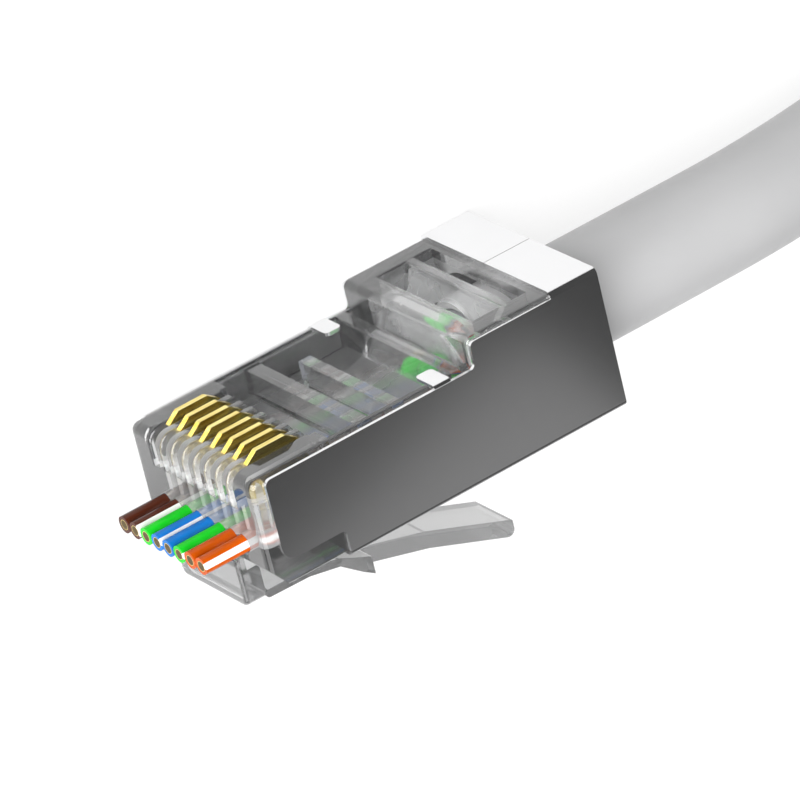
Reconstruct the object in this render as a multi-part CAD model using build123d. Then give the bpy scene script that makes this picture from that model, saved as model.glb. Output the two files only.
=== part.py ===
from build123d import *
import math
import os

# A shielded eight-way modular plug, loaded with its cable and not yet crimped. Millimetres.
# X runs across the contacts, Y from the nose to the cable, Z from the latch side to the contacts.
# The model is drawn from a datum in the middle of the front face, level with the underside of
# the shield. A plug can't stand on its springy latch, so each piece is then laid over as the plug
# comes to rest: on the flat side of the last way, with the side of the first way up. The origin
# lies under the middle of the plug, on the surface that it rests on.

# Contact row
ways = 8
pitch = 1.02
blade_thickness = 0.34
blade_proud = 0.44
blade_flat_front_y = 1.90
blade_flat_length = 1.78
blade_bevel_height = 0.54
blade_front_bevel = 0.73
blade_rear_bevel = 0.77
blade_lip = 0.33
blade_lip_height = 0.2
tine_count = 3
tine_height = 0.75
tine_tip = 0.24
tine_valley = 0.15

# Clear housing
body_width = 11.2
step_y = 14.0
raised_length = 8.1
front_height = 6.5
roof_wall = 0.77
chamfer_depth = 0.95
chamfer_top_z = 1.4
front_radius = 0.5
edge_radius = 0.25
step_radius = 0.4
rim_radius = 0.14

# Comb between the contacts
comb_depth = 2.0
rib_thickness = 0.62
rib_length = 5.1
rib_nose_radius = 0.85
rib_edge_radius = 0.18
rib_tail_bevel = 0.3
slot_end_clearance = 0.15
slot_side_clearance = 0.02

# Open well behind the comb, with its two cross bars and the sill at its rear
rim_width = 0.45
well_front_y = 5.2
well_rear_land = 1.05
well_depth = 1.8
bar_drop = 0.2
front_bar_y = 7.0
front_bar_depth = 0.9
rear_bar_y = 9.17
rear_bar_depth = 0.75
rear_bar_gap = 1.95
sill_depth = 0.62
sill_groove_depth = 0.45

# Wire bores and the chamber that widens towards the cable
wire_z = 2.42
wire_clearance = 0.05
throat_set_back = 2.0
bore_run_on = 0.3
chamber_full_set_back = 1.2
entry_clearance = 0.3
entry_side_clearance = 1.15
chamber_corner = 2.6

# Top window and the strain relief wall inside it
window_set_back = 1.45
window_length = 3.45
window_width = 8.4
relief_set_back = 3.25
relief_thickness = 0.5
relief_lean = 0.76
relief_depth = 2.1
relief_clearance = 0.04
relief_edge_radius = 0.16

# Nose block under the front, and the latch that hinges from it
latch_width = 6.1
lever_width = 3.25
nose_reach = 0.45
nose_rear_y = 0.78
nose_bottom_z = -1.45
nose_side_radius = 0.5
nose_front_radius = 0.25
hinge_set_back = 0.2
web_thickness = 0.46
web_blend = 1.85
web_sag = 0.06
hinge_clearance = 0.05
catch_start_y = 5.27
catch_y = 7.16
catch_z = -3.25
ramp_drop = 0.42
ramp_run = 0.66
knee_y = 11.3
knee_z = -4.37
tip_y = 16.5
tip_z = -6.31
lever_thickness = 1.02
tip_radius = 0.38
tip_edge_radius = 0.12
shoulder_radius = 0.3

# Folded shield
sheet = 0.2
bend_radius = 0.15
shield_front_y = 0.84
rear_overhang = 0.23
side_drop = 0.18
step_gap = 0.1
strip_depth = 3.0
skirt_z = 1.58
skirt_rear_y = 4.64
skirt_corner = 0.8
front_top_corner = 0.35
step_corner = 0.3
tab_set_forward = 2.45
tab_length = 1.03
tab_reach = 1.8
tab_corner = 0.25
tab_seat_clearance = 0.12
seam = 0.04

# Wires and cable
insulation_radius = 0.48
conductor_radius = 0.3
conductor_clearance = 0.01
wire_stub = 2.66
core_slack = 0.48
wire_bend_radius = 1.2
wire_run = 2.6
first_rise = 0.6
rise_step = 0.6
wire_touch = 0.03
jacket_radius = 3.05
jacket_wall = 0.55
jacket_set_back = 3.1
foil_thickness = 0.1
foil_clearance = 0.02
foil_proud = 0.4
divider_thickness = 0.3
drain_radius = 0.22
drain_slack = 0.07
drain_tail = 4.2
drain_front_gap = 0.2
drain_clearance = 0.08

# How far a cutting solid runs on past the surface it cuts, and a joined one into its neighbour
spill = 1.0
fuse = 0.1

# Values that follow from those above
half_body = body_width / 2
half_shield = half_body + sheet
base_z = sheet
body_length = step_y + raised_length
shield_rear_y = body_length + rear_overhang
strip_front_y = shield_rear_y - strip_depth
comb_half = ways * pitch / 2
well_half = half_body - rim_width
wire_bore_radius = insulation_radius + wire_clearance
slot_width = blade_thickness + 2 * slot_side_clearance
foil_radius = jacket_radius - jacket_wall - foil_clearance
core_radius = foil_radius - foil_thickness - insulation_radius - core_slack
drain_offset = foil_radius - foil_thickness - drain_radius - drain_slack
cable_z = wire_z + core_radius
rear_height = cable_z + jacket_radius + entry_clearance + roof_wall
roof_z = rear_height + sheet
side_height = front_height - side_drop
raised_side_height = rear_height - side_drop
comb_floor_z = front_height - comb_depth
bar_top_z = front_height - bar_drop
blade_top_z = front_height + blade_proud
well_rear_y = step_y - well_rear_land
tab_y = step_y - tab_set_forward
jacket_front_y = step_y + jacket_set_back
blade_front_y = blade_flat_front_y - blade_front_bevel
blade_rear_y = blade_flat_front_y + blade_flat_length + blade_rear_bevel
blade_stem_y = blade_front_y + blade_lip
blade_foot_z = wire_z + wire_bore_radius
hinge_y = nose_rear_y + hinge_set_back
hinge_z = nose_bottom_z + web_thickness / 2
middle_y = (shield_rear_y - nose_reach) / 2
middle_z = (roof_z + tip_z) / 2
throat_y = step_y - throat_set_back
chamber_half = max(jacket_radius + entry_side_clearance, comb_half)

# The cable leaves the plug straight, sinks to the surface that the plug's side lies on, and ends there.
lying_x = jacket_radius - half_shield
cable_route = [
    (0, jacket_front_y, cable_z),
    (0, jacket_front_y + 10.8, cable_z),
    (-0.1, jacket_front_y + 22.0, cable_z),
    (lying_x, jacket_front_y + 36.0, cable_z + 0.4),
    (lying_x, jacket_front_y + 48.0, cable_z - 1.6),
    (lying_x, jacket_front_y + 57.5, cable_z - 5.8),
]


def block(x0, x1, y0, y1, z0, z1):
    """A box between two corners."""
    middle = ((x0 + x1) / 2, (y0 + y1) / 2, (z0 + z1) / 2)
    return Pos(*middle) * Box(x1 - x0, y1 - y0, z1 - z0)


def across(outline, half_width):
    """A closed outline of (y, z) points, carried to both sides of the middle plane."""
    return extrude(Plane.YZ * make_face(Polyline(*outline, close=True)), half_width, both=True)


def contact_x(way):
    """The middle of a way: the first is on the +X side."""
    return ((ways + 1) / 2 - way) * pitch


def rise_y(way):
    """Where a wire of the row starts to rise to its place in the cable, the outer ways last."""
    return throat_y + first_rise + (abs((ways + 1) / 2 - way) - 1.5) * rise_step


def tube_y(radius, x, z, y0, y1):
    """A round bar along Y."""
    return extrude(Plane((x, y0, z), x_dir=(1, 0, 0), z_dir=(0, 1, 0)) * Circle(radius), y1 - y0)


def edges_near(shape, axis, y, z):
    """The edges along one axis that lie on a line through (y, z)."""
    chosen = []
    for edge in shape.edges().filter_by(axis):
        middle = edge.center()
        if abs(middle.Y - y) < 1e-3 and abs(middle.Z - z) < 1e-3:
            chosen.append(edge)
    return chosen


def housing_block():
    """The outside of the moulding, with a low front and a raised rear, before it is hollowed."""
    outline = [
        (0, chamfer_top_z),
        (0, front_height),
        (step_y, front_height),
        (step_y, rear_height),
        (body_length, rear_height),
        (body_length, base_z),
        (chamfer_depth, base_z),
    ]
    body = across(outline, half_body)
    soft = [e for e in body.edges().filter_by(Axis.Z) if abs(e.center().Y) < 1e-3]
    soft += edges_near(body, Axis.X, 0, front_height)
    soft += [e for e in body.edges().filter_by(Axis.Y) if abs(e.center().Z - front_height) < 1e-3]
    body = fillet(soft, front_radius)
    body = fillet(edges_near(body, Axis.X, step_y, rear_height), step_radius)
    tops = [e for e in body.edges().filter_by(Axis.Y) if abs(e.center().Z - rear_height) < 1e-3]
    body = fillet(tops, edge_radius)
    bottoms = [e for e in body.edges().filter_by(Axis.Y) if abs(e.center().Z - base_z) < 1e-3]
    return fillet(bottoms, edge_radius)


def comb_rib(x):
    """One rib of the comb: a rounded nose at the front face, a bevelled tail at the well."""
    nose = front_height - rib_nose_radius
    corner = rib_nose_radius * (1 - math.cos(math.pi / 4))
    foot = comb_floor_z - fuse
    line = Polyline((0, nose), (0, foot), (rib_length, foot),
                    (rib_length, front_height - 2 * rib_tail_bevel),
                    (rib_length - rib_tail_bevel, front_height), (rib_nose_radius, front_height))
    arc = ThreePointArc((rib_nose_radius, front_height), (corner, front_height - corner), (0, nose))
    rib = extrude(Plane.YZ * make_face(line + arc), rib_thickness / 2, both=True)
    rims = [e for e in rib.edges() if abs(abs(e.center().X) - rib_thickness / 2) < 1e-3
            and e.center().Z > foot + fuse and e.center().Y < rib_length - rib_tail_bevel]
    return Pos(x, 0, 0) * fillet(rims, rib_edge_radius)


def comb():
    """The recess over the contacts, kept apart by ribs, with a blade slot down to each wire bore."""
    recess = block(-comb_half, comb_half, -spill, well_front_y, comb_floor_z, front_height + spill)
    ribs = [comb_rib((i - ways / 2) * pitch) for i in range(ways + 1)]
    recess -= ribs
    for way in range(1, ways + 1):
        x = contact_x(way)
        recess += block(x - slot_width / 2, x + slot_width / 2, blade_stem_y - slot_end_clearance,
                        blade_rear_y + slot_end_clearance, wire_z, comb_floor_z + fuse)
    return recess


def chamber():
    """The wire bores at the front, and the chamber that widens from them to the cable entry."""
    across_y = Plane(origin=(0, 0, 0), x_dir=(-1, 0, 0), z_dir=(0, 1, 0))
    narrow = RectangleRounded(2 * comb_half + fuse, 2 * wire_bore_radius, insulation_radius)
    wide = RectangleRounded(2 * chamber_half, 2 * (jacket_radius + entry_clearance), chamber_corner)
    chamber_full_y = step_y + chamber_full_set_back
    at_throat = across_y * Pos(0, wire_z, throat_y) * narrow
    at_full = across_y * Pos(0, cable_z, chamber_full_y) * wide
    hollow = loft([at_throat, at_full], ruled=True)
    hollow += extrude(at_full, body_length - chamber_full_y + spill)
    bore_end_y = throat_y + bore_run_on
    for way in range(1, ways + 1):
        hollow += tube_y(wire_bore_radius, contact_x(way), wire_z, -nose_reach - spill, bore_end_y)
    return hollow


def well():
    """The open top between the comb and the step, less its bars and the sill."""
    top = front_height + spill
    space = block(-well_half, well_half, well_front_y, well_rear_y,
                  front_height - well_depth, top)
    behind_bars = rear_bar_y + rear_bar_depth
    space -= block(-half_body, half_body, front_bar_y, front_bar_y + front_bar_depth, 0, bar_top_z)
    space -= block(-well_half + rear_bar_gap, half_body, rear_bar_y, behind_bars, 0, bar_top_z)
    groove_front = well_rear_y + sill_depth
    groove_floor = front_height - sill_groove_depth
    space += block(-well_half, well_half, groove_front, step_y, groove_floor, top)
    return space


def rim_edges(body, window_front_y):
    """The upper edges of the window, less the rear one that lies under the shield."""
    chosen = []
    for edge in body.edges():
        middle = edge.center()
        inside = abs(middle.X) < window_width / 2 + fuse and middle.Y > window_front_y - fuse
        front = inside and middle.Y < window_front_y + window_length - fuse
        if front and abs(middle.Z - rear_height) < 1e-3:
            chosen.append(edge)
    return chosen


def strain_relief():
    """The leaning wall in the window, hollowed to the jacket, that is pressed on it when crimped."""
    bottom = rear_height - relief_depth
    relief_y = step_y + relief_set_back
    outline = [
        (relief_y, rear_height),
        (relief_y + relief_thickness, rear_height),
        (relief_y + relief_thickness - relief_lean, bottom),
        (relief_y - relief_lean, bottom),
    ]
    wall = across(outline, window_width / 2 + fuse)
    wall = fillet(edges_near(wall, Axis.X, relief_y, rear_height), relief_edge_radius)
    hollow_front_y = jacket_front_y - foil_proud - relief_clearance
    return wall - tube_y(jacket_radius + relief_clearance, 0, cable_z, hollow_front_y, body_length)


def nose():
    """The block under the front that the latch hangs from, grooved at its rear for the hinge."""
    half = latch_width / 2
    lump = block(-half, half, -nose_reach, nose_rear_y, nose_bottom_z, chamfer_top_z)
    lower = [e for e in lump.edges().filter_by(Axis.Y) if e.center().Z < 0]
    lump = fillet(lower, nose_side_radius)
    front = lump.faces().sort_by(Axis.Y)[0]
    lump = fillet(front.edges(), nose_front_radius)
    groove = Plane.YZ * Pos(hinge_y, hinge_z) * Circle(web_thickness / 2 + hinge_clearance)
    return lump - extrude(groove, half + spill, both=True)


def housing():
    """The clear moulding."""
    body = housing_block() - comb() - well() - chamber()
    window_front_y = step_y + window_set_back
    window = block(-window_width / 2, window_width / 2, window_front_y,
                   window_front_y + window_length, cable_z, rear_height + spill)
    body -= window
    body = fillet(rim_edges(body, window_front_y), rim_radius)
    seat_y0 = tab_y - tab_seat_clearance
    seat_y1 = tab_y + tab_length + tab_seat_clearance
    body -= block(-half_body - spill, half_body + spill, seat_y0, seat_y1,
                  front_height - sheet, front_height + spill)
    body += strain_relief()
    lump = nose()
    for way in range(1, ways + 1):
        lump -= tube_y(wire_bore_radius, contact_x(way), wire_z, -nose_reach - spill, 0)
    return body + lump


def latch():
    """The springy lever: a thin web at the nose, the catch with its two shoulders, the finger end."""
    top_of_web = nose_bottom_z + web_thickness
    rise = knee_z + lever_thickness
    slope = (tip_z - knee_z) / (tip_y - knee_y)
    tip_top = rise + slope * (tip_y - knee_y)
    outline = [
        (hinge_y, nose_bottom_z),
        (catch_start_y - web_blend, nose_bottom_z - web_sag),
        (catch_start_y, nose_bottom_z - ramp_drop),
        (catch_y - ramp_run, catch_z + ramp_drop),
        (catch_y, catch_z),
        (knee_y, knee_z),
        (tip_y, tip_z),
        (tip_y, tip_top),
        (knee_y, rise),
        (catch_y, catch_z + lever_thickness),
        (catch_start_y, nose_bottom_z + web_sag),
        (catch_start_y - web_blend, top_of_web),
        (hinge_y, top_of_web),
    ]
    lever = across(outline, latch_width / 2)
    lever = fillet(edges_near(lever, Axis.X, tip_y, tip_z), tip_radius)
    lever = fillet(edges_near(lever, Axis.X, tip_y, tip_top), tip_edge_radius)
    knuckle = Plane.YZ * Pos(hinge_y, hinge_z) * Circle(web_thickness / 2)
    lever += extrude(knuckle, latch_width / 2, both=True)
    for side in (-1, 1):
        inner = side * lever_width / 2
        outer = side * (latch_width / 2 + spill)
        waste = block(min(inner, outer), max(inner, outer), catch_y, tip_y + spill, tip_z - spill, 0)
        corner = [e for e in waste.edges().filter_by(Axis.Z)
                  if abs(e.center().Y - catch_y) < 1e-3 and abs(e.center().X - inner) < 1e-3]
        lever -= fillet(corner, shoulder_radius)
    return lever


def folded_sleeve(height):
    """The sheet folded all the way round, to a given height over the underside."""
    outer = bend_radius + sheet
    across_y = Plane(origin=(0, shield_front_y, height / 2), x_dir=(-1, 0, 0), z_dir=(0, 1, 0))
    ring = RectangleRounded(2 * half_shield, height, outer)
    ring -= RectangleRounded(2 * half_body, height - 2 * sheet, bend_radius)
    return extrude(across_y * ring, shield_rear_y - shield_front_y)


def shield_side():
    """The outline of the blanked sheet seen from the side, as a slab that the sleeve is cut to."""
    corners = [
        (shield_front_y, skirt_z),
        (shield_front_y, side_height),
        (step_y + step_gap, side_height),
        (step_y + step_gap, raised_side_height),
        (strip_front_y, raised_side_height),
        (strip_front_y, roof_z + spill),
        (shield_rear_y, roof_z + spill),
        (shield_rear_y, -spill),
        (skirt_rear_y, -spill),
        (skirt_rear_y, skirt_z),
    ]
    radii = [skirt_corner, front_top_corner, step_corner, step_corner, 0, 0, 0, 0, 0, step_corner]
    face = make_face(Polyline(*corners, close=True))
    for corner, radius in zip(corners, radii):
        if radius:
            spot = [v for v in face.vertices() if (v.X - corner[0]) ** 2 + (v.Y - corner[1]) ** 2 < 1e-6]
            face = fillet(spot, radius)
    return extrude(Plane.YZ * face, half_shield + spill, both=True)


def shield_tab(side):
    """A small tab folded over the rim of the housing."""
    inner = half_shield - tab_reach
    width = tab_reach + spill
    shape = Pos(side * (inner + width / 2), tab_y + tab_length / 2) * Rectangle(width, tab_length)
    free = [v for v in shape.vertices() if abs(abs(v.X) - inner) < 1e-3]
    window = extrude(Pos(0, 0, side_height - spill) * fillet(free, tab_corner), 2 * spill)
    return folded_sleeve(front_height) & window


def shield():
    """One sheet folded round the housing: underside, two sides, two rear flaps and two tabs."""
    sheet_metal = folded_sleeve(roof_z) & shield_side()
    sheet_metal -= block(-seam / 2, seam / 2, strip_front_y - spill, shield_rear_y + spill,
                         roof_z - spill, roof_z + spill)
    return sheet_metal + shield_tab(1) + shield_tab(-1)


def contact(way):
    """A gold blade: bevelled nose and tail, a flat top, and tines over the wire."""
    bevel_z = blade_top_z - blade_bevel_height
    root_z = blade_foot_z + tine_height
    tine = (blade_rear_y - blade_stem_y) / tine_count
    outline = [
        (blade_stem_y, root_z),
        (blade_stem_y, bevel_z - blade_lip_height),
        (blade_front_y, bevel_z),
        (blade_flat_front_y, blade_top_z),
        (blade_flat_front_y + blade_flat_length, blade_top_z),
        (blade_rear_y, bevel_z),
        (blade_rear_y, root_z),
    ]
    for i in range(tine_count):
        middle = blade_rear_y - (i + 0.5) * tine
        outline.append((middle + tine_tip / 2, blade_foot_z))
        outline.append((middle - tine_tip / 2, blade_foot_z))
        if i < tine_count - 1:
            outline.append((middle - tine / 2, root_z - tine_valley))
    return Pos(contact_x(way), 0, 0) * across(outline, blade_thickness / 2)


def core_place(way):
    """Where a wire lies in the cable, from the cable's middle: four pairs in the four quarters."""
    near = insulation_radius + wire_touch
    far = core_radius
    places = {1: (far, -near), 2: (far, near), 3: (near, far), 4: (near, -far),
              5: (-near, -far), 6: (-near, far), 7: (-far, near), 8: (-far, -near)}
    return places[way]


def route_radii(points):
    """Arc radii for a cord's route: as large as the shorter run at each corner allows."""
    radii = []
    for a, b, c in zip(points, points[1:], points[2:]):
        run_in = Vector(*b) - Vector(*a)
        run_out = Vector(*c) - Vector(*b)
        turn = math.radians(run_in.get_angle(run_out))
        radii.append(0.45 * min(run_in.length, run_out.length) / math.tan(turn / 2))
    return radii


def cable_path():
    """The middle line of the cable: straight runs joined by tangent arcs."""
    return FilletPolyline(*cable_route, radius=route_radii(cable_route))


def along_cable(section):
    """A section drawn about the cable's middle, carried along the whole cable."""
    path = cable_path()
    start = Plane(origin=cable_route[0], x_dir=(1, 0, 0), z_dir=-(path % 0))
    return sweep(start * section, path=path)


def wire_front(way, radius):
    """A wire from its end in front of the nose, through its bore, to the front of the jacket."""
    x = contact_x(way)
    place_x, place_z = core_place(way)
    points = [(x, -wire_stub, wire_z), (place_x, jacket_front_y, cable_z + place_z)]
    if abs(place_x - x) < fuse:
        path = Line(*points)
    else:
        rise = rise_y(way)
        points[1:1] = [(x, rise, wire_z), (place_x, rise + wire_run, cable_z + place_z)]
        path = FilletPolyline(*points, radius=wire_bend_radius)
    start = Plane(origin=points[0], x_dir=(1, 0, 0), z_dir=(0, 1, 0))
    return sweep(start * Circle(radius), path=path)


def wire(way, radius):
    """A whole wire, round and solid, from its front end to the cut end of the cable."""
    place_x, place_z = core_place(way)
    rear = along_cable(Pos(place_x, place_z) * Circle(radius))
    return wire_front(way, radius) + rear


def insulation(way):
    """The coloured sleeve of one wire."""
    return wire(way, insulation_radius) - wire(way, conductor_radius + conductor_clearance)


def jacket():
    """The cable's outer sheath."""
    return along_cable(Circle(jacket_radius) - Circle(jacket_radius - jacket_wall))


def foil_screen():
    """The foil round the four pairs, a little proud of the jacket inside the plug."""
    ring = Circle(foil_radius) - Circle(foil_radius - foil_thickness)
    collar = Plane((0, jacket_front_y, cable_z), x_dir=(1, 0, 0), z_dir=(0, -1, 0)) * ring
    return along_cable(ring) + extrude(collar, foil_proud)


def pair_divider():
    """The cross-shaped filler that keeps the four pairs apart."""
    reach = 2 * (foil_radius - foil_thickness - foil_clearance)
    arms = Rot(0, 0, 45) * (Rectangle(reach, divider_thickness) + Rectangle(divider_thickness, reach))
    return along_cable(arms)


def drain_wire():
    """The bare wire inside the foil, turned back over the jacket where the shield grips it."""
    outside = jacket_radius + drain_radius + drain_clearance
    turn = (outside - drain_offset) / 2
    front = jacket_front_y - foil_proud - turn - drain_front_gap
    inner = Line((drain_offset, jacket_front_y, cable_z), (drain_offset, front + turn, cable_z))
    bend = ThreePointArc((drain_offset, front + turn, cable_z), (drain_offset + turn, front, cable_z),
                         (outside, front + turn, cable_z))
    back = Line((outside, front + turn, cable_z), (outside, jacket_front_y + drain_tail, cable_z))
    start = Plane((drain_offset, jacket_front_y, cable_z), x_dir=(1, 0, 0), z_dir=(0, -1, 0))
    loop = sweep(start * Circle(drain_radius), path=Wire([inner.edge(), bend.edge(), back.edge()]))
    return along_cable(Pos(drain_offset, 0) * Circle(drain_radius)) + loop


def pieces():
    """Every piece of the plug by name, still in the modelling datum."""
    made = {"housing": housing(), "latch": latch(), "shield": shield()}
    for way in range(1, ways + 1):
        made[f"contact_{way}"] = contact(way)
        made[f"insulation_{way}"] = insulation(way)
        made[f"conductor_{way}"] = wire(way, conductor_radius)
    made["jacket"] = jacket()
    made["foil_screen"] = foil_screen()
    made["pair_divider"] = pair_divider()
    made["drain_wire"] = drain_wire()
    return made


os.makedirs("parts", exist_ok=True)
lay_over = Pos(middle_z, -middle_y, half_shield) * Rot(0, -90, 0)
print("cable radii", [round(r, 1) for r in route_radii(cable_route)])
print("cable length", round(cable_path().length, 2))
for name, piece in pieces().items():
    export_step(lay_over * piece, f"parts/{name}.step")
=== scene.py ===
import logging
import math
from dataclasses import dataclass
from enum import Enum
from typing import Dict, List, Optional, Sequence, Tuple, Union

import bmesh
import bpy
from mathutils import Matrix, Vector


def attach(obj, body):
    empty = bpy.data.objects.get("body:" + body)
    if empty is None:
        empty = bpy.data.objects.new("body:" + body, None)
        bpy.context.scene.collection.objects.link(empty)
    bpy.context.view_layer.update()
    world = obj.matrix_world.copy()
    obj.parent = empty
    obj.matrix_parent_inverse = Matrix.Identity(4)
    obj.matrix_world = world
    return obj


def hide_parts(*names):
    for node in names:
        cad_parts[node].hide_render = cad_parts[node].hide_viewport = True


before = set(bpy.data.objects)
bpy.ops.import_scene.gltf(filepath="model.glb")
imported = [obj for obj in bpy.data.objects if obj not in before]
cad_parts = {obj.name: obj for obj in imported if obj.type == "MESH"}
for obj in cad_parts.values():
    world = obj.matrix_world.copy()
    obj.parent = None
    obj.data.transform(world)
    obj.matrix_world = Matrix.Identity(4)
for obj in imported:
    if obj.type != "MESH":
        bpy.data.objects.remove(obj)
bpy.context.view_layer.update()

LOG = logging.getLogger("modular_plug")
MM = 0.001
WAYS = 8
PITCH = 1.02 * MM
PLUG = "plug"
# Nearly all of a noise pattern's values lie between these two.
NOISE_LOW, NOISE_HIGH = 0.3, 0.7

Rgb = Tuple[float, float, float]
Point = Tuple[float, float, float]
Span = Tuple[float, float]
Socket = bpy.types.NodeSocket
Feed = Union[Socket, float, Sequence[float], None]
Ring = Tuple[Matrix, float, float]


class Shader:
    """A material's node tree, with short calls to add and join its nodes."""

    def __init__(self, name: str) -> None:
        """Starts an empty material.

        Args:
            name: the material's name.
        """
        self.material = bpy.data.materials.new(name)
        self.material.use_nodes = True
        self.tree = self.material.node_tree
        self.tree.nodes.clear()

    def add(self, kind: str, inputs: Optional[Dict[Union[str, int], Feed]] = None,
            **settings: str) -> bpy.types.Node:
        """Adds a node.

        Args:
            kind: the node's type, without its ShaderNode prefix.
            inputs: what its sockets get, by the socket's name or place.
            settings: attributes of the node, which are set before its sockets.

        Returns:
            The new node.
        """
        node = self.tree.nodes.new("ShaderNode" + kind)
        for key, value in settings.items():
            setattr(node, key, value)
        for key, value in (inputs or {}).items():
            self.feed(node.inputs[key], value)
        return node

    def join(self, output: Socket, target: Socket) -> None:
        """Links an output to an input."""
        self.tree.links.new(output, target)

    def feed(self, socket: Socket, value: Feed) -> None:
        """Links a socket, or sets its own value.

        Args:
            socket: the input socket.
            value: another node's output, a number, a colour with its alpha, or None to leave it.
        """
        if isinstance(value, bpy.types.NodeSocket):
            self.join(value, socket)
        elif value is not None:
            socket.default_value = value

    def math(self, operation: str, first: Feed, second: Feed = None) -> Socket:
        """The result of a Math node, of one or two sockets or numbers."""
        return self.add("Math", {0: first, 1: second}, operation=operation).outputs[0]

    def place(self, shift: Point = (0.0, 0.0, 0.0), stretch: Point = (1.0, 1.0, 1.0)) -> Socket:
        """Object coordinates, scaled along each axis and then moved.

        Args:
            shift: what is added to the scaled coordinates.
            stretch: the scale along each axis.

        Returns:
            The coordinates' socket.
        """
        where = self.add("TexCoord")
        mapping = self.add("Mapping", {
            "Location": shift,
            "Scale": stretch,
            "Vector": where.outputs["Object"],
        })
        return mapping.outputs["Vector"]

    def split(self, vector: Socket) -> Tuple[Socket, Socket, Socket]:
        """The sockets of a vector's x, y and z."""
        parts = self.add("SeparateXYZ", {"Vector": vector})
        return parts.outputs["X"], parts.outputs["Y"], parts.outputs["Z"]

    def spoke(self, centre: Span) -> Tuple[Socket, Socket]:
        """Coordinates measured from a wire's straight middle line.

        Args:
            centre: the line's x and z, in metres.

        Returns:
            The coordinates, and the same with their y left out.
        """
        place = self.place((-centre[0], 0.0, -centre[1]))
        flat = self.add("VectorMath", {0: place, 1: (1.0, 0.0, 1.0)}, operation="MULTIPLY")
        return place, flat.outputs["Vector"]

    def noise(self, scale: float, detail: float, stretch: Point = (1.0, 1.0, 1.0)) -> Socket:
        """A noise pattern on Object coordinates.

        Args:
            scale: how many features there are in a metre.
            detail: the noise's detail.
            stretch: the scale along each axis on top of that.

        Returns:
            The noise's factor.
        """
        where = self.place(stretch=stretch)
        node = self.add("TexNoise", {"Scale": scale, "Detail": detail, "Vector": where})
        return node.outputs["Fac"]

    def spread(self, factor: Socket, low: float, high: float) -> Socket:
        """A pattern's middle range carried to a range of values.

        Args:
            factor: the pattern.
            low: the value at its low end.
            high: the value at its high end.

        Returns:
            The result's socket.
        """
        node = self.add("MapRange", {
            "From Min": NOISE_LOW,
            "From Max": NOISE_HIGH,
            "To Min": low,
            "To Max": high,
            "Value": factor,
        })
        return node.outputs["Result"]

    def blend(self, factor: Feed, first: Feed, second: Feed) -> Socket:
        """A colour between two, each a plain colour or a socket.

        Args:
            factor: how much of the second.
            first: the first colour.
            second: the second colour.

        Returns:
            The mixed colour's socket.
        """
        first, second = ((*c, 1.0) if isinstance(c, tuple) else c for c in (first, second))
        node = self.add("Mix", {"Factor": factor, "A": first, "B": second}, data_type="RGBA")
        return node.outputs["Result"]

    def mix(self, factor: Socket, first: bpy.types.Node, second: bpy.types.Node) -> bpy.types.Node:
        """The node that mixes two shaders, where the factor is how much there is of the second."""
        return self.add("MixShader", {"Fac": factor, 1: first.outputs[0], 2: second.outputs[0]})

    def bump(self, height: Socket, depth_mm: float) -> Socket:
        """The normal's socket of a fine relief, whose height is a pattern from 0 to 1."""
        return self.add("Bump", {"Distance": depth_mm * MM, "Height": height}).outputs["Normal"]

    def finish(self, surface: bpy.types.Node,
               volume: Optional[bpy.types.Node] = None) -> bpy.types.Material:
        """Ends the tree.

        Args:
            surface: the surface's shader.
            volume: the shader of what it encloses, if it has one.

        Returns:
            The finished material.
        """
        output = self.add("OutputMaterial", {"Surface": surface.outputs[0]})
        if volume:
            self.join(volume.outputs[0], output.inputs["Volume"])
        return self.material


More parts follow.
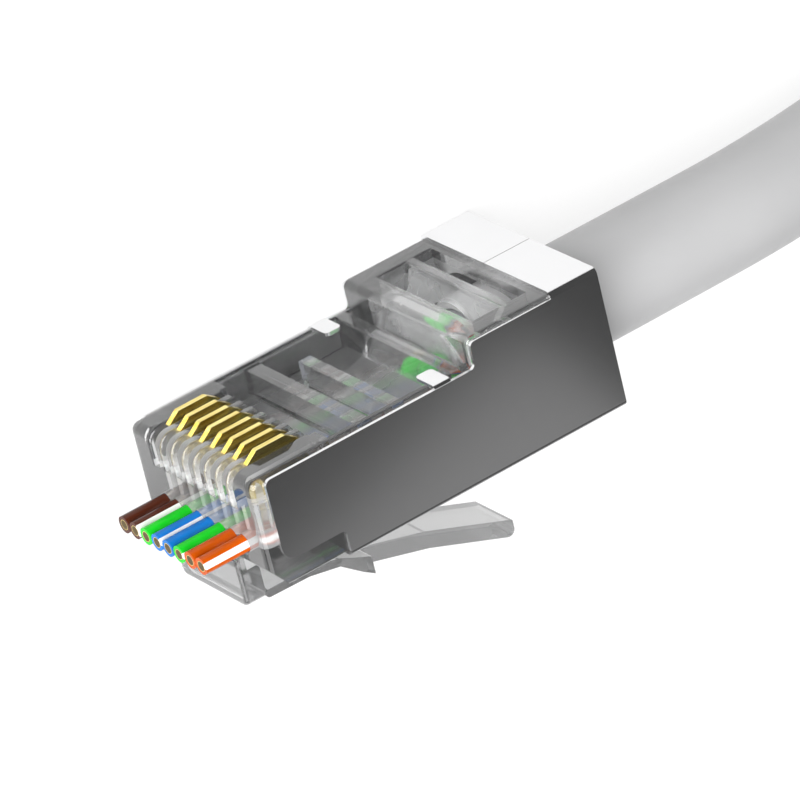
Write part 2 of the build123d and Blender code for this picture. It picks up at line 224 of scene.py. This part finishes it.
@dataclass(frozen=True)
class ClearMoulding:
    """Injection-moulded clear plastic: a polished skin, hazy walls round the wires, a grey depth.

    The hazy walls are those of the wire bores and the chamber, which a box of coordinates tells
    from the skin. Under the comb they are hazier still. The foot on the latch side is thick, and
    its darker tint there is painted shade.
    """

    name: str = "clear_moulding"
    tint: Rgb = (0.87, 0.87, 0.872)
    foot_painted_shade_tint: Rgb = (0.66, 0.66, 0.662)
    index: float = 1.45
    coat: float = 1.0
    polish: float = 0.04
    skin_roughness: float = 0.09
    wall_roughness: float = 0.26

    ripple: float = 420.0
    ripple_detail: float = 2.0
    ripple_stretch: Point = (1.0, 0.35, 1.0)
    ripple_span: Span = (0.85, 1.2)
    sink: float = 260.0
    sink_detail: float = 1.0
    sink_mm: float = 0.004

    milk: Rgb = (0.62, 0.625, 0.63)
    milk_roughness: float = 0.3
    skin_milk: float = 0.05
    wall_milk: float = 0.15
    front_milk: float = 0.32
    shadow: Rgb = (0.98, 0.98, 0.98)
    depth: Rgb = (0.5, 0.5, 0.5)
    density: float = 150.0

    front_y: float = -10.9 * MM
    comb_y: float = -6.0 * MM
    step_y: float = 3.4 * MM
    floor_x: float = -3.95 * MM
    roof_x: float = -6.5 * MM
    under_x: float = 0.3 * MM
    painted_shade_foot_x: float = -0.6 * MM
    middle_z: float = 5.8 * MM
    half_z: float = 5.0 * MM

    def zones(self, shader: Shader) -> Tuple[Socket, Socket, Socket]:
        """Factors that are 1 in a zone of the moulding and 0 outside it.

        Args:
            shader: the material's tree.

        Returns:
            The factors of the walls round the wires, of those under the comb, and of the foot,
            where shade is painted.
        """
        x, y, z = shader.split(shader.place())
        behind = shader.math("GREATER_THAN", y, self.step_y)
        roof = shader.math("MULTIPLY", behind, shader.math("GREATER_THAN", x, self.roof_x))
        deep = shader.math("MAXIMUM", roof, shader.math("GREATER_THAN", x, self.floor_x))
        above = shader.math("LESS_THAN", x, self.under_x)
        aside = shader.math("ABSOLUTE", shader.math("SUBTRACT", z, self.middle_z))
        inside = shader.math("LESS_THAN", aside, self.half_z)
        within = shader.math("MULTIPLY", inside, shader.math("GREATER_THAN", y, self.front_y))
        every = shader.math("MULTIPLY", shader.math("MULTIPLY", deep, above), within)
        comb = shader.math("MULTIPLY", every, shader.math("LESS_THAN", y, self.comb_y))
        # The third factor is the foot, where shade is painted as a darker tint.
        return every, comb, shader.math("GREATER_THAN", x, self.painted_shade_foot_x)

    def between(self, shader: Shader, walls: Socket, skin: float, wall: float) -> Socket:
        """A value that is one number on the skin and another where the walls' factor is 1."""
        return shader.math("ADD", shader.math("MULTIPLY", walls, wall - skin), skin)

    def glass(self, shader: Shader, walls: Socket, foot: Socket) -> bpy.types.Node:
        """The clear part of the plastic.

        Args:
            shader: the material's tree.
            walls: the walls' factor.
            foot: the foot's factor, where a darker tint is painted shade.

        Returns:
            The shader's node.
        """
        rough = self.between(shader, walls, self.skin_roughness, self.wall_roughness)
        ripple = shader.noise(self.ripple, self.ripple_detail, self.ripple_stretch)
        uneven = shader.spread(ripple, *self.ripple_span)
        sink = shader.bump(shader.noise(self.sink, self.sink_detail), self.sink_mm)
        return shader.add("BsdfPrincipled", {
            # The foot's darker tint is painted shade.
            "Base Color": shader.blend(foot, self.tint, self.foot_painted_shade_tint),
            "IOR": self.index,
            "Transmission Weight": 1.0,
            "Coat Weight": self.coat,
            "Coat Roughness": self.polish,
            "Roughness": shader.math("MULTIPLY", rough, uneven),
            "Normal": sink,
        })

    def material(self) -> bpy.types.Material:
        """Builds the plastic: clear and milky parts, a light shadow, and a depth that takes light.

        Returns:
            The material.
        """
        shader = Shader(self.name)
        walls, front, foot = self.zones(shader)
        cloud = shader.add("BsdfPrincipled", {
            "Base Color": (*self.milk, 1.0),
            "Roughness": self.milk_roughness,
        })
        milk = self.between(shader, walls, self.skin_milk, self.wall_milk)
        milk = shader.math("ADD", milk, shader.math("MULTIPLY", front, self.front_milk))
        body = shader.mix(milk, self.glass(shader, walls, foot), cloud)
        through = shader.add("BsdfTransparent", {"Color": (*self.shadow, 1.0)})
        shadow_ray = shader.add("LightPath").outputs["Is Shadow Ray"]
        depth = shader.add("VolumeAbsorption", {
            "Color": (*self.depth, 1.0),
            "Density": self.density,
        })
        return shader.finish(shader.mix(shadow_ray, body, through), depth)


@dataclass(frozen=True)
class Metal:
    """A metal with a slight drift of colour and a fine grain.

    A sheet can have a darker tone on its latch side, past a given x, which is painted shade.
    """

    name: str
    colour: Rgb
    dull: Rgb
    roughness: float
    grain: float
    stretch: Point = (1.0, 1.0, 1.0)
    grain_mm: float = 0.0006
    grain_detail: float = 4.0
    uneven: Span = (0.97, 1.03)
    drift: float = 900.0
    drift_detail: float = 3.0
    # The latch side's darker tone and where it starts: painted shade.
    latch_side_painted_shade: Optional[Rgb] = None
    latch_side_painted_shade_x: float = 0.6 * MM

    def material(self) -> bpy.types.Material:
        """Builds the metal.

        Returns:
            The material.
        """
        shader = Shader(self.name)
        cloud = shader.noise(self.drift, self.drift_detail, self.stretch)
        tone = shader.blend(shader.spread(cloud, 0.0, 1.0), self.colour, self.dull)
        if self.latch_side_painted_shade:
            x, _, _ = shader.split(shader.place())
            # The latch side is painted darker: painted shade.
            side = shader.math("GREATER_THAN", x, self.latch_side_painted_shade_x)
            tone = shader.blend(side, tone, self.latch_side_painted_shade)
        fine = shader.noise(self.grain, self.grain_detail, self.stretch)
        low, high = (self.roughness * share for share in self.uneven)
        return shader.finish(shader.add("BsdfPrincipled", {
            "Metallic": 1.0,
            "Base Color": tone,
            "Roughness": shader.spread(fine, low, high),
            "Normal": shader.bump(fine, self.grain_mm),
        }))


@dataclass(frozen=True)
class Plastic:
    """An opaque plastic with a fine skin and a slight drift of tone."""

    name: str
    colour: Rgb
    deep: Rgb
    roughness: float
    grain: float = 2600.0
    grain_mm: float = 0.004
    grain_detail: float = 3.0
    uneven: Span = (0.85, 1.15)
    drift_share: float = 0.08

    def material(self) -> bpy.types.Material:
        """Builds the plastic.

        Returns:
            The material.
        """
        shader = Shader(self.name)
        cloud = shader.noise(self.grain * self.drift_share, self.grain_detail)
        fine = shader.noise(self.grain, self.grain_detail)
        low, high = (self.roughness * share for share in self.uneven)
        return shader.finish(shader.add("BsdfPrincipled", {
            "Base Color": shader.blend(shader.spread(cloud, 0.0, 1.0), self.colour, self.deep),
            "Roughness": shader.spread(fine, low, high),
            "Normal": shader.bump(fine, self.grain_mm),
        }))


class Hue(Enum):
    """The four pair colours and the white that marks one wire of a pair."""

    BROWN = (0.085, 0.020, 0.009)
    GREEN = (0.010, 0.62, 0.020)
    BLUE = (0.008, 0.185, 0.60)
    ORANGE = (0.62, 0.095, 0.002)
    WHITE = (0.88, 0.88, 0.86)


@dataclass(frozen=True)
class Sleeve:
    """One wire's coloured insulation, with its white stripe if it has one.

    The stripe runs along the wire. Its place is an angle about the wire, from +Z towards -X, and
    its half width is an angle too, both in degrees.
    """

    way: int
    hue: Hue
    stripe_angle: float = 0.0
    stripe_half: float = 0.0
    stripe_end_y: float = 1.5 * MM
    gloss: float = 0.2
    roughness: float = 0.20
    uneven: Span = (0.8, 1.25)
    detail: float = 2.0
    drift: float = 900.0
    deep_share: float = 0.82
    skin: float = 5200.0
    skin_stretch: Point = (1.0, 0.12, 1.0)
    skin_mm: float = 0.002

    def material(self, centre: Span) -> bpy.types.Material:
        """Builds the coloured plastic with its stripe.

        Args:
            centre: the wire's x and z along its straight front part, in metres.

        Returns:
            The material.
        """
        shader = Shader(f"wire_{self.way}_{self.hue.name.lower()}")
        cloud = shader.spread(shader.noise(self.drift, self.detail), 0.0, 1.0)
        deep = tuple(self.deep_share * c for c in self.hue.value)
        colour = shader.blend(cloud, self.hue.value, deep)
        if self.stripe_half:
            colour = shader.blend(self.stripe(shader, centre), colour, Hue.WHITE.value)
        skin = shader.noise(self.skin, self.detail, self.skin_stretch)
        low, high = (self.roughness * share for share in self.uneven)
        return shader.finish(shader.add("BsdfPrincipled", {
            "Base Color": colour,
            "Specular IOR Level": self.gloss,
            "Roughness": shader.spread(skin, low, high),
            "Normal": shader.bump(skin, self.skin_mm),
        }))

    def stripe(self, shader: Shader, centre: Span) -> Socket:
        """The stripe's mask on the straight front part of the wire.

        Args:
            shader: the material's tree.
            centre: the wire's x and z, in metres.

        Returns:
            A factor that is 1 on the stripe.
        """
        place, flat = shader.spoke(centre)
        outward = shader.add("VectorMath", {0: flat}, operation="NORMALIZE").outputs["Vector"]
        angle = math.radians(self.stripe_angle)
        middle = (-math.sin(angle), 0.0, math.cos(angle))
        towards = shader.add("VectorMath", {0: outward, 1: middle}, operation="DOT_PRODUCT")
        edge = math.cos(math.radians(self.stripe_half))
        near = shader.math("GREATER_THAN", towards.outputs["Value"], edge)
        _, y, _ = shader.split(place)
        return shader.math("MULTIPLY", near, shader.math("LESS_THAN", y, self.stripe_end_y))


@dataclass(frozen=True)
class Copper:
    """A wire's copper core, with a bright rim round its cut end."""

    way: int
    colour: Rgb = (0.14, 0.095, 0.03)
    rim: Rgb = (0.95, 0.74, 0.30)
    rim_radius: float = 0.27 * MM
    cut: float = 9000.0
    cut_detail: float = 2.0
    cut_stretch: Point = (1.0, 1.0, 0.25)
    cut_roughness: Span = (0.28, 0.5)
    cut_mm: float = 0.002

    def material(self, centre: Span) -> bpy.types.Material:
        """Builds the copper with its rim.

        Args:
            centre: the wire's x and z along its straight front part, in metres.

        Returns:
            The material.
        """
        shader = Shader(f"core_{self.way}")
        _, flat = shader.spoke(centre)
        reach = shader.add("VectorMath", {0: flat}, operation="LENGTH").outputs["Value"]
        outer = shader.math("GREATER_THAN", reach, self.rim_radius)
        cut = shader.noise(self.cut, self.cut_detail, self.cut_stretch)
        return shader.finish(shader.add("BsdfPrincipled", {
            "Metallic": 1.0,
            "Base Color": shader.blend(outer, self.colour, self.rim),
            "Roughness": shader.spread(cut, *self.cut_roughness),
            "Normal": shader.bump(cut, self.cut_mm),
        }))


CLEAR = ClearMoulding()
# The lever's foot is given a darker tint too, which is painted shade.
LEVER = ClearMoulding("clear_lever", foot_painted_shade_tint=(0.70, 0.70, 0.70), skin_milk=0.10, density=480.0)
# The shield's latch side is painted darker, which is painted shade.
PLATED = Metal("plated_sheet", colour=(0.84, 0.84, 0.845), dull=(0.83, 0.83, 0.835),
               roughness=0.20, grain=3000.0, grain_mm=0.00001, latch_side_painted_shade=(0.34, 0.34, 0.343))
GILT = Metal("gilt_contact", colour=(1.0, 0.88, 0.36), dull=(0.74, 0.54, 0.13),
             roughness=0.24, grain=9000.0, stretch=(1.0, 0.10, 1.0), drift=5200.0)
FOIL = Metal("foil", colour=(0.80, 0.81, 0.82), dull=(0.70, 0.71, 0.72),
             roughness=0.3, grain=2500.0, grain_mm=0.01)
TINNED = Metal("tinned_copper", colour=(0.66, 0.66, 0.65), dull=(0.56, 0.56, 0.55),
               roughness=0.32, grain=6000.0)
SHEATH = Plastic("cable_jacket", colour=(0.44, 0.44, 0.444), deep=(0.42, 0.42, 0.424),
                 roughness=0.42, grain=1800.0, grain_mm=0.006)
FILLER = Plastic("pair_filler", colour=(0.80, 0.80, 0.78), deep=(0.74, 0.74, 0.72),
                 roughness=0.45)

SLEEVES = (
    Sleeve(1, Hue.ORANGE, 15.0, 22.0),
    Sleeve(2, Hue.ORANGE),
    Sleeve(3, Hue.GREEN, 4.0, 22.0),
    Sleeve(4, Hue.BLUE),
    Sleeve(5, Hue.BLUE, 20.0, 25.0),
    Sleeve(6, Hue.GREEN),
    Sleeve(7, Hue.BROWN, 13.0, 43.0),
    Sleeve(8, Hue.BROWN),
)


def dress(node: str, material: bpy.types.Material) -> bpy.types.Object:
    """Puts one material on a CAD node.

    Args:
        node: the node's name.
        material: the material for all its slots.

    Returns:
        The node's object.
    """
    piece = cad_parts[node]
    for slot in piece.material_slots:
        slot.material = material
    if not piece.material_slots:
        piece.data.materials.append(material)
    return piece


def put(name: str, data: bpy.types.ID) -> bpy.types.Object:
    """Makes an object at the origin and links it to the scene.

    Args:
        name: the object's name.
        data: its mesh, curve, light or camera.

    Returns:
        The new object.
    """
    made = bpy.data.objects.new(name, data)
    bpy.context.scene.collection.objects.link(made)
    return made


def mesh_of(name: str, bm: bmesh.types.BMesh, material: bpy.types.Material) -> bpy.types.Mesh:
    """Turns mesh code into a mesh with one finish.

    Args:
        name: the mesh's name.
        bm: its geometry, which is freed.
        material: its finish.

    Returns:
        The new mesh.
    """
    mesh = bpy.data.meshes.new(name)
    bm.to_mesh(mesh)
    bm.free()
    mesh.materials.append(material)
    return mesh


def piece_on_plug(name: str, mesh: bpy.types.Mesh) -> bpy.types.Object:
    """Makes a finished piece that rides on the plug.

    Args:
        name: the piece's name.
        mesh: its mesh, already in place.

    Returns:
        The new object.
    """
    piece = put(name, mesh)
    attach(piece, PLUG)
    return piece


@dataclass
class Cable:
    """The cable's sheath on its smooth route, and the finishes of what it holds."""

    route: Tuple[Point, ...] = (
        (-0.002915, 0.00616, 0.0058),
        (-0.002915, 0.01696, 0.0058),
        (-0.002915, 0.02816, 0.0057),
        (-0.003315, 0.04216, 0.00305),
        (-0.001315, 0.05416, 0.00305),
        (0.002885, 0.06366, 0.00305),
    )
    order: int = 3
    steps: int = 28
    exit_y: float = 11.39 * MM
    length: float = 58.7 * MM
    radius: float = 3.05 * MM
    wall: float = 0.55 * MM
    cut_edge: float = 0.10 * MM
    edge_corner: float = 0.3
    inner_reach: float = 5.0 * MM
    sides: int = 72

    def line(self) -> List[Vector]:
        """Lays the route's smooth spline, from the plug to the cut end.

        Returns:
            The points along it.
        """
        curve = bpy.data.curves.new("cable_line", "CURVE")
        curve.dimensions = "3D"
        curve.resolution_u = self.steps
        spline = curve.splines.new("NURBS")
        spline.points.add(len(self.route) - 1)
        for point, place in zip(spline.points, self.route):
            point.co = (*place, 1.0)
        spline.order_u = self.order
        spline.use_endpoint_u = True
        holder = put("cable_line", curve)
        graph = bpy.context.evaluated_depsgraph_get()
        mesh = bpy.data.meshes.new_from_object(holder.evaluated_get(graph))
        points = [v.co.copy() for v in mesh.vertices]
        bpy.data.objects.remove(holder)
        bpy.data.curves.remove(curve)
        bpy.data.meshes.remove(mesh)
        return points

    def frames(self, points: Sequence[Vector]) -> List[Matrix]:
        """A frame at each point that turns as little as it can along the line.

        Args:
            points: the line.

        Returns:
            One matrix a point, whose third column is the line's direction.
        """
        made = []
        across = Vector((1.0, 0.0, 0.0))
        for i, point in enumerate(points):
            ahead = points[min(i + 1, len(points) - 1)] - points[max(i - 1, 0)]
            ahead.normalize()
            across = (across - ahead * across.dot(ahead)).normalized()
            up = ahead.cross(across)
            made.append(Matrix((across, up, ahead)).transposed().to_4x4())
            made[-1].translation = point
        return made

    def end(self, at: Matrix, inward: float) -> List[Ring]:
        """The rings of one cut end, from the inside of the sheath to its outside.

        Args:
            at: the frame at the cut.
            inward: 1 or -1, the way along the frame's direction that leads into the sheath.

        Returns:
            For each ring its frame, its radius and its shift along the frame's direction.
        """
        inner, outer, e = self.radius - self.wall, self.radius, self.cut_edge
        corner = self.edge_corner * e
        return [
            (at, inner, inward * self.inner_reach),
            (at, inner, inward * e),
            (at, inner + e, 0.0),
            (at, outer - e, 0.0),
            (at, outer - corner, inward * corner),
            (at, outer, inward * e),
        ]

    def profile(self, frames: Sequence[Matrix]) -> List[Ring]:
        """The sheath's rings in order: the near end, the outside, and the far end.

        Args:
            frames: the frames along the line.

        Returns:
            For each ring its frame, its radius and its shift along the frame's direction.
        """
        outside = [(at, self.radius, 0.0) for at in frames[2:-2]]
        far = self.end(frames[-1], -1.0)[::-1]
        return self.end(frames[0], 1.0) + outside + far

    def tube(self, frames: Sequence[Matrix]) -> bmesh.types.BMesh:
        """Makes the sheath's closed skin, with a UV map that runs along it.

        Args:
            frames: the frames along the line.

        Returns:
            The geometry, with its faces outwards.
        """
        bm = bmesh.new()
        uv = bm.loops.layers.uv.new("along")
        rows = []
        for matrix, radius, shift in self.profile(frames):
            ring = []
            for k in range(self.sides):
                angle = math.tau * k / self.sides
                local = Vector((radius * math.cos(angle), radius * math.sin(angle), shift))
                ring.append(bm.verts.new(matrix @ local))
            rows.append(ring)
        for i, (a, b) in enumerate(zip(rows, rows[1:])):
            for k in range(self.sides):
                n = (k + 1) % self.sides
                face = bm.faces.new((a[k], a[n], b[n], b[k]))
                face.smooth = True
                corners = ((k, i), (k + 1, i), (k + 1, i + 1), (k, i + 1))
                for loop, (u, v) in zip(face.loops, corners):
                    loop[uv].uv = (u / self.sides, v / len(rows))
        bm.faces.new(rows[0][::-1])
        bm.faces.new(rows[-1])
        bmesh.ops.recalc_face_normals(bm, faces=bm.faces)
        return bm

    def build(self) -> List[bpy.types.Object]:
        """Returns:
            The sheath and the dressed nodes.
        """
        points = self.line()
        mesh = mesh_of("cable_sheath", self.tube(self.frames(points)), SHEATH.material())
        sheath = piece_on_plug("cable_sheath", mesh)
        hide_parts("jacket")
        return [
            sheath,
            dress("foil_screen", FOIL.material()),
            dress("pair_divider", FILLER.material()),
            dress("drain_wire", TINNED.material()),
        ]


@dataclass
class Wires:
    """The eight wires with their sleeves and copper cores."""

    middle_x: float = -1.495 * MM
    middle_z: float = 5.8 * MM
    middle_way: float = (WAYS + 1) / 2

    def centre(self, way: int) -> Span:
        """The x and z of a wire's straight front part, in metres, by its number from above."""
        return self.middle_x, self.middle_z + (self.middle_way - way) * PITCH

    def build(self) -> List[bpy.types.Object]:
        """Dresses the sleeves and cores.

        Returns:
            The dressed nodes.
        """
        dressed = []
        for sleeve in SLEEVES:
            centre = self.centre(sleeve.way)
            dressed.append(dress(f"insulation_{sleeve.way}", sleeve.material(centre)))
            dressed.append(dress(f"conductor_{sleeve.way}", Copper(sleeve.way).material(centre)))
        return dressed


@dataclass
class BladeGrain:
    """The fine shear lines along the front bevel of every blade, laid out by Geometry Nodes.

    foot is the lower end of way 1's bevel and slope leads up it. bar is the size of one line, and
    each line is worn down to a random share of it, between least and most.
    """

    lines: int = 4
    gap: float = 0.078 * MM
    foot: Point = (-5.475 * MM, -9.77 * MM, 9.37 * MM)
    slope: Point = (-0.540 * MM, 0.730 * MM, 0.0)
    bar: Point = (0.030 * MM, 0.84 * MM, 0.036 * MM)
    least: Point = (0.4, 0.8, 0.6)
    most: Point = (1.0, 1.0, 1.0)
    seed: int = 7

    def sockets(self) -> Dict[str, Tuple[str, Feed]]:
        """Lists the node group's inputs.

        Returns:
            Each input's kind and value, by its name.
        """
        half = (self.lines - 1) / 2 * self.gap
        first = tuple(Vector(self.foot) + Vector(self.slope) / 2 + Vector((0.0, 0.0, half)))
        tilt = math.atan2(-self.slope[0], self.slope[1])
        return {
            "Blades": ("NodeSocketInt", WAYS),
            "Pitch": ("NodeSocketFloat", PITCH),
            "Lines": ("NodeSocketInt", self.lines),
            "First": ("NodeSocketVector", first),
            "Step": ("NodeSocketVector", (0.0, 0.0, -self.gap)),
            "Bar": ("NodeSocketVector", self.bar),
            "Tilt": ("NodeSocketFloat", tilt),
            "Seed": ("NodeSocketInt", self.seed),
        }

    def group(self, material: bpy.types.Material) -> bpy.types.NodeTree:
        """Builds the node group: a row of blades, a ladder of lines on each, a bar on each line.

        Args:
            material: the finish that is set on the bars.

        Returns:
            The node group.
        """
        tree = bpy.data.node_groups.new("blade_grain", "GeometryNodeTree")
        tree.interface.new_socket("Geometry", in_out="OUTPUT", socket_type="NodeSocketGeometry")
        for name, (kind, _) in self.sockets().items():
            tree.interface.new_socket(name, in_out="INPUT", socket_type=kind)

        def node(kind: str) -> bpy.types.Node:
            """Adds a node."""
            return tree.nodes.new(kind)

        given, result = node("NodeGroupInput"), node("NodeGroupOutput")
        row, ladder = node("GeometryNodeMeshLine"), node("GeometryNodeMeshLine")
        down, turn = node("ShaderNodeCombineXYZ"), node("ShaderNodeCombineXYZ")
        minus = node("ShaderNodeMath")
        minus.operation = "MULTIPLY"
        minus.inputs[1].default_value = -1.0
        spots, laid = node("GeometryNodeInstanceOnPoints"), node("GeometryNodeRealizeInstances")
        bar, worn = node("GeometryNodeMeshCube"), node("FunctionNodeRandomValue")
        worn.data_type = "FLOAT_VECTOR"
        worn.inputs["Min"].default_value = self.least
        worn.inputs["Max"].default_value = self.most
        bars, plain = node("GeometryNodeInstanceOnPoints"), node("GeometryNodeRealizeInstances")
        finish = node("GeometryNodeSetMaterial")
        finish.inputs["Material"].default_value = material
        joins = (
            (given.outputs["Pitch"], minus.inputs[0]),
            (minus.outputs[0], down.inputs["Z"]),
            (given.outputs["Blades"], row.inputs["Count"]),
            (given.outputs["First"], row.inputs["Start Location"]),
            (down.outputs["Vector"], row.inputs["Offset"]),
            (given.outputs["Lines"], ladder.inputs["Count"]),
            (given.outputs["Step"], ladder.inputs["Offset"]),
            (row.outputs["Mesh"], spots.inputs["Points"]),
            (ladder.outputs["Mesh"], spots.inputs["Instance"]),
            (spots.outputs["Instances"], laid.inputs["Geometry"]),
            (laid.outputs["Geometry"], bars.inputs["Points"]),
            (given.outputs["Bar"], bar.inputs["Size"]),
            (bar.outputs["Mesh"], bars.inputs["Instance"]),
            (given.outputs["Tilt"], turn.inputs["Z"]),
            (turn.outputs["Vector"], bars.inputs["Rotation"]),
            (given.outputs["Seed"], worn.inputs["Seed"]),
            (worn.outputs["Value"], bars.inputs["Scale"]),
            (bars.outputs["Instances"], plain.inputs["Geometry"]),
            (plain.outputs["Geometry"], finish.inputs["Geometry"]),
            (finish.outputs["Geometry"], result.inputs["Geometry"]),
        )
        for output, target in joins:
            tree.links.new(output, target)
        return tree

    def build(self, material: bpy.types.Material) -> bpy.types.Object:
        """Makes the lines as one plain mesh that rides on the plug.

        Args:
            material: the blades' finish.

        Returns:
            The new object.
        """
        holder = put("blade_grain_rule", bpy.data.meshes.new("blade_grain_rule"))
        rule = holder.modifiers.new("grain", "NODES")
        rule.node_group = self.group(material)
        values = self.sockets()
        for item in rule.node_group.interface.items_tree:
            if item.in_out == "INPUT":
                rule[item.identifier] = values[item.name][1]
        graph = bpy.context.evaluated_depsgraph_get()
        mesh = bpy.data.meshes.new_from_object(holder.evaluated_get(graph))
        bpy.data.objects.remove(holder)
        # The bars come with an empty slot of their own before the finish.
        if mesh.materials[0] is None:
            mesh.materials.pop(index=0)
        return piece_on_plug("blade_grain", mesh)


@dataclass
class Body:
    """The clear housing with its latch, the folded shield and the gold blades."""

    grain: BladeGrain

    def build(self) -> List[bpy.types.Object]:
        """Dresses the nodes and adds the blades' shear lines.

        Returns:
            The dressed nodes and the lines.
        """
        pieces = [
            dress("housing", CLEAR.material()),
            dress("latch", LEVER.material()),
            dress("shield", PLATED.material()),
        ]
        gilt = GILT.material()
        pieces += [dress(f"contact_{way}", gilt) for way in range(1, WAYS + 1)]
        return pieces + [self.grain.build(gilt)]


class Softbox(Enum):
    """The studio's lights: direction from the plug, distance, size and radiance."""

    KEY = ((-0.226, -0.525, 0.821), 0.75, 0.80, 6.4)
    FRONT = ((0.50, -0.70, 0.50), 0.70, 0.50, 2.0)
    CARD = ((0.765, 0.29, 0.575), 0.042, 0.04, 0.20)


@dataclass
class Studio:
    """The floor, the lights and the camera."""

    white: Rgb = (1.0, 1.0, 1.0)
    room_strength: float = 0.05
    floor_half: float = 3.0
    floor_tone: Rgb = (0.24, 0.24, 0.24)
    floor_roughness: float = 0.9
    floor_gloss: float = 0.1
    floor_glow: float = 0.76
    aim: Point = (0.0, 0.0, 0.0058)
    eye: Point = (-0.173065, -0.15596, 0.29085)
    forward: Point = (0.4641, 0.4287, -0.7751)
    up: Point = (-0.8596, 0.4292, -0.2773)
    lens: float = 323.0
    sensor: float = 36.0
    near: float = 0.01
    far: float = 20.0

    def camera(self) -> bpy.types.Object:
        """Makes the camera at the photograph's angle.

        Returns:
            The camera.
        """
        data = bpy.data.cameras.new("camera")
        data.sensor_width = self.sensor
        data.lens = self.lens
        data.clip_start = self.near
        data.clip_end = self.far
        ahead = Vector(self.forward).normalized()
        right = ahead.cross(Vector(self.up)).normalized()
        up = right.cross(ahead)
        camera = put("camera", data)
        camera.matrix_world = Matrix((right, up, -ahead)).transposed().to_4x4()
        camera.location = self.eye
        bpy.context.scene.camera = camera
        return camera

    def light(self, box: Softbox) -> bpy.types.Object:
        """Makes one softbox that faces the plug.

        Args:
            box: which one.

        Returns:
            The light.
        """
        direction, distance, size, radiance = box.value
        data = bpy.data.lights.new(box.name.lower(), "AREA")
        data.shape = "SQUARE"
        data.size = size
        data.energy = math.pi * size * size * radiance
        away = Vector(direction).normalized()
        lamp = put(box.name.lower(), data)
        lamp.rotation_mode = "QUATERNION"
        lamp.rotation_quaternion = away.to_track_quat("Z", "Y")
        lamp.location = Vector(self.aim) + away * distance
        lamp.visible_camera = False
        return lamp

    def floor(self) -> bpy.types.Object:
        """Makes the plain pale floor.

        Returns:
            The floor.
        """
        bm = bmesh.new()
        bmesh.ops.create_grid(bm, x_segments=1, y_segments=1, size=self.floor_half)
        shader = Shader("floor")
        body = shader.add("BsdfPrincipled", {
            "Base Color": (*self.floor_tone, 1.0),
            "Roughness": self.floor_roughness,
            "Specular IOR Level": self.floor_gloss,
            "Emission Color": (*self.white, 1.0),
            "Emission Strength": self.floor_glow,
        })
        floor = put("floor", mesh_of("floor", bm, shader.finish(body)))
        return floor

    def room(self) -> None:
        """Sets the even light of the room and the colour transform."""
        world = bpy.data.worlds.new("room")
        world.use_nodes = True
        back = world.node_tree.nodes["Background"]
        back.inputs["Color"].default_value = (*self.white, 1.0)
        back.inputs["Strength"].default_value = self.room_strength
        bpy.context.scene.world = world
        bpy.context.scene.view_settings.view_transform = "Standard"

    def build(self) -> List[bpy.types.Object]:
        """Sets up the whole studio.

        Returns:
            The camera, the lights and the floor.
        """
        made = [self.camera()]
        made += [self.light(box) for box in Softbox]
        made.append(self.floor())
        self.room()
        return made


def main() -> None:
    """Builds the studio and the plug's sub-assemblies in order, and reports each piece."""
    logging.basicConfig(level=logging.INFO, format="%(name)s: %(message)s")
    for thing in Studio().build():
        LOG.info("studio: %s", thing.name)
    for assembly in (Cable(), Wires(), Body(BladeGrain())):
        for piece in assembly.build():
            finishes = ", ".join(slot.name for slot in piece.material_slots)
            LOG.info("%s in %s, %d faces", piece.name, finishes, len(piece.data.polygons))


if __name__ == "__main__":
    main()
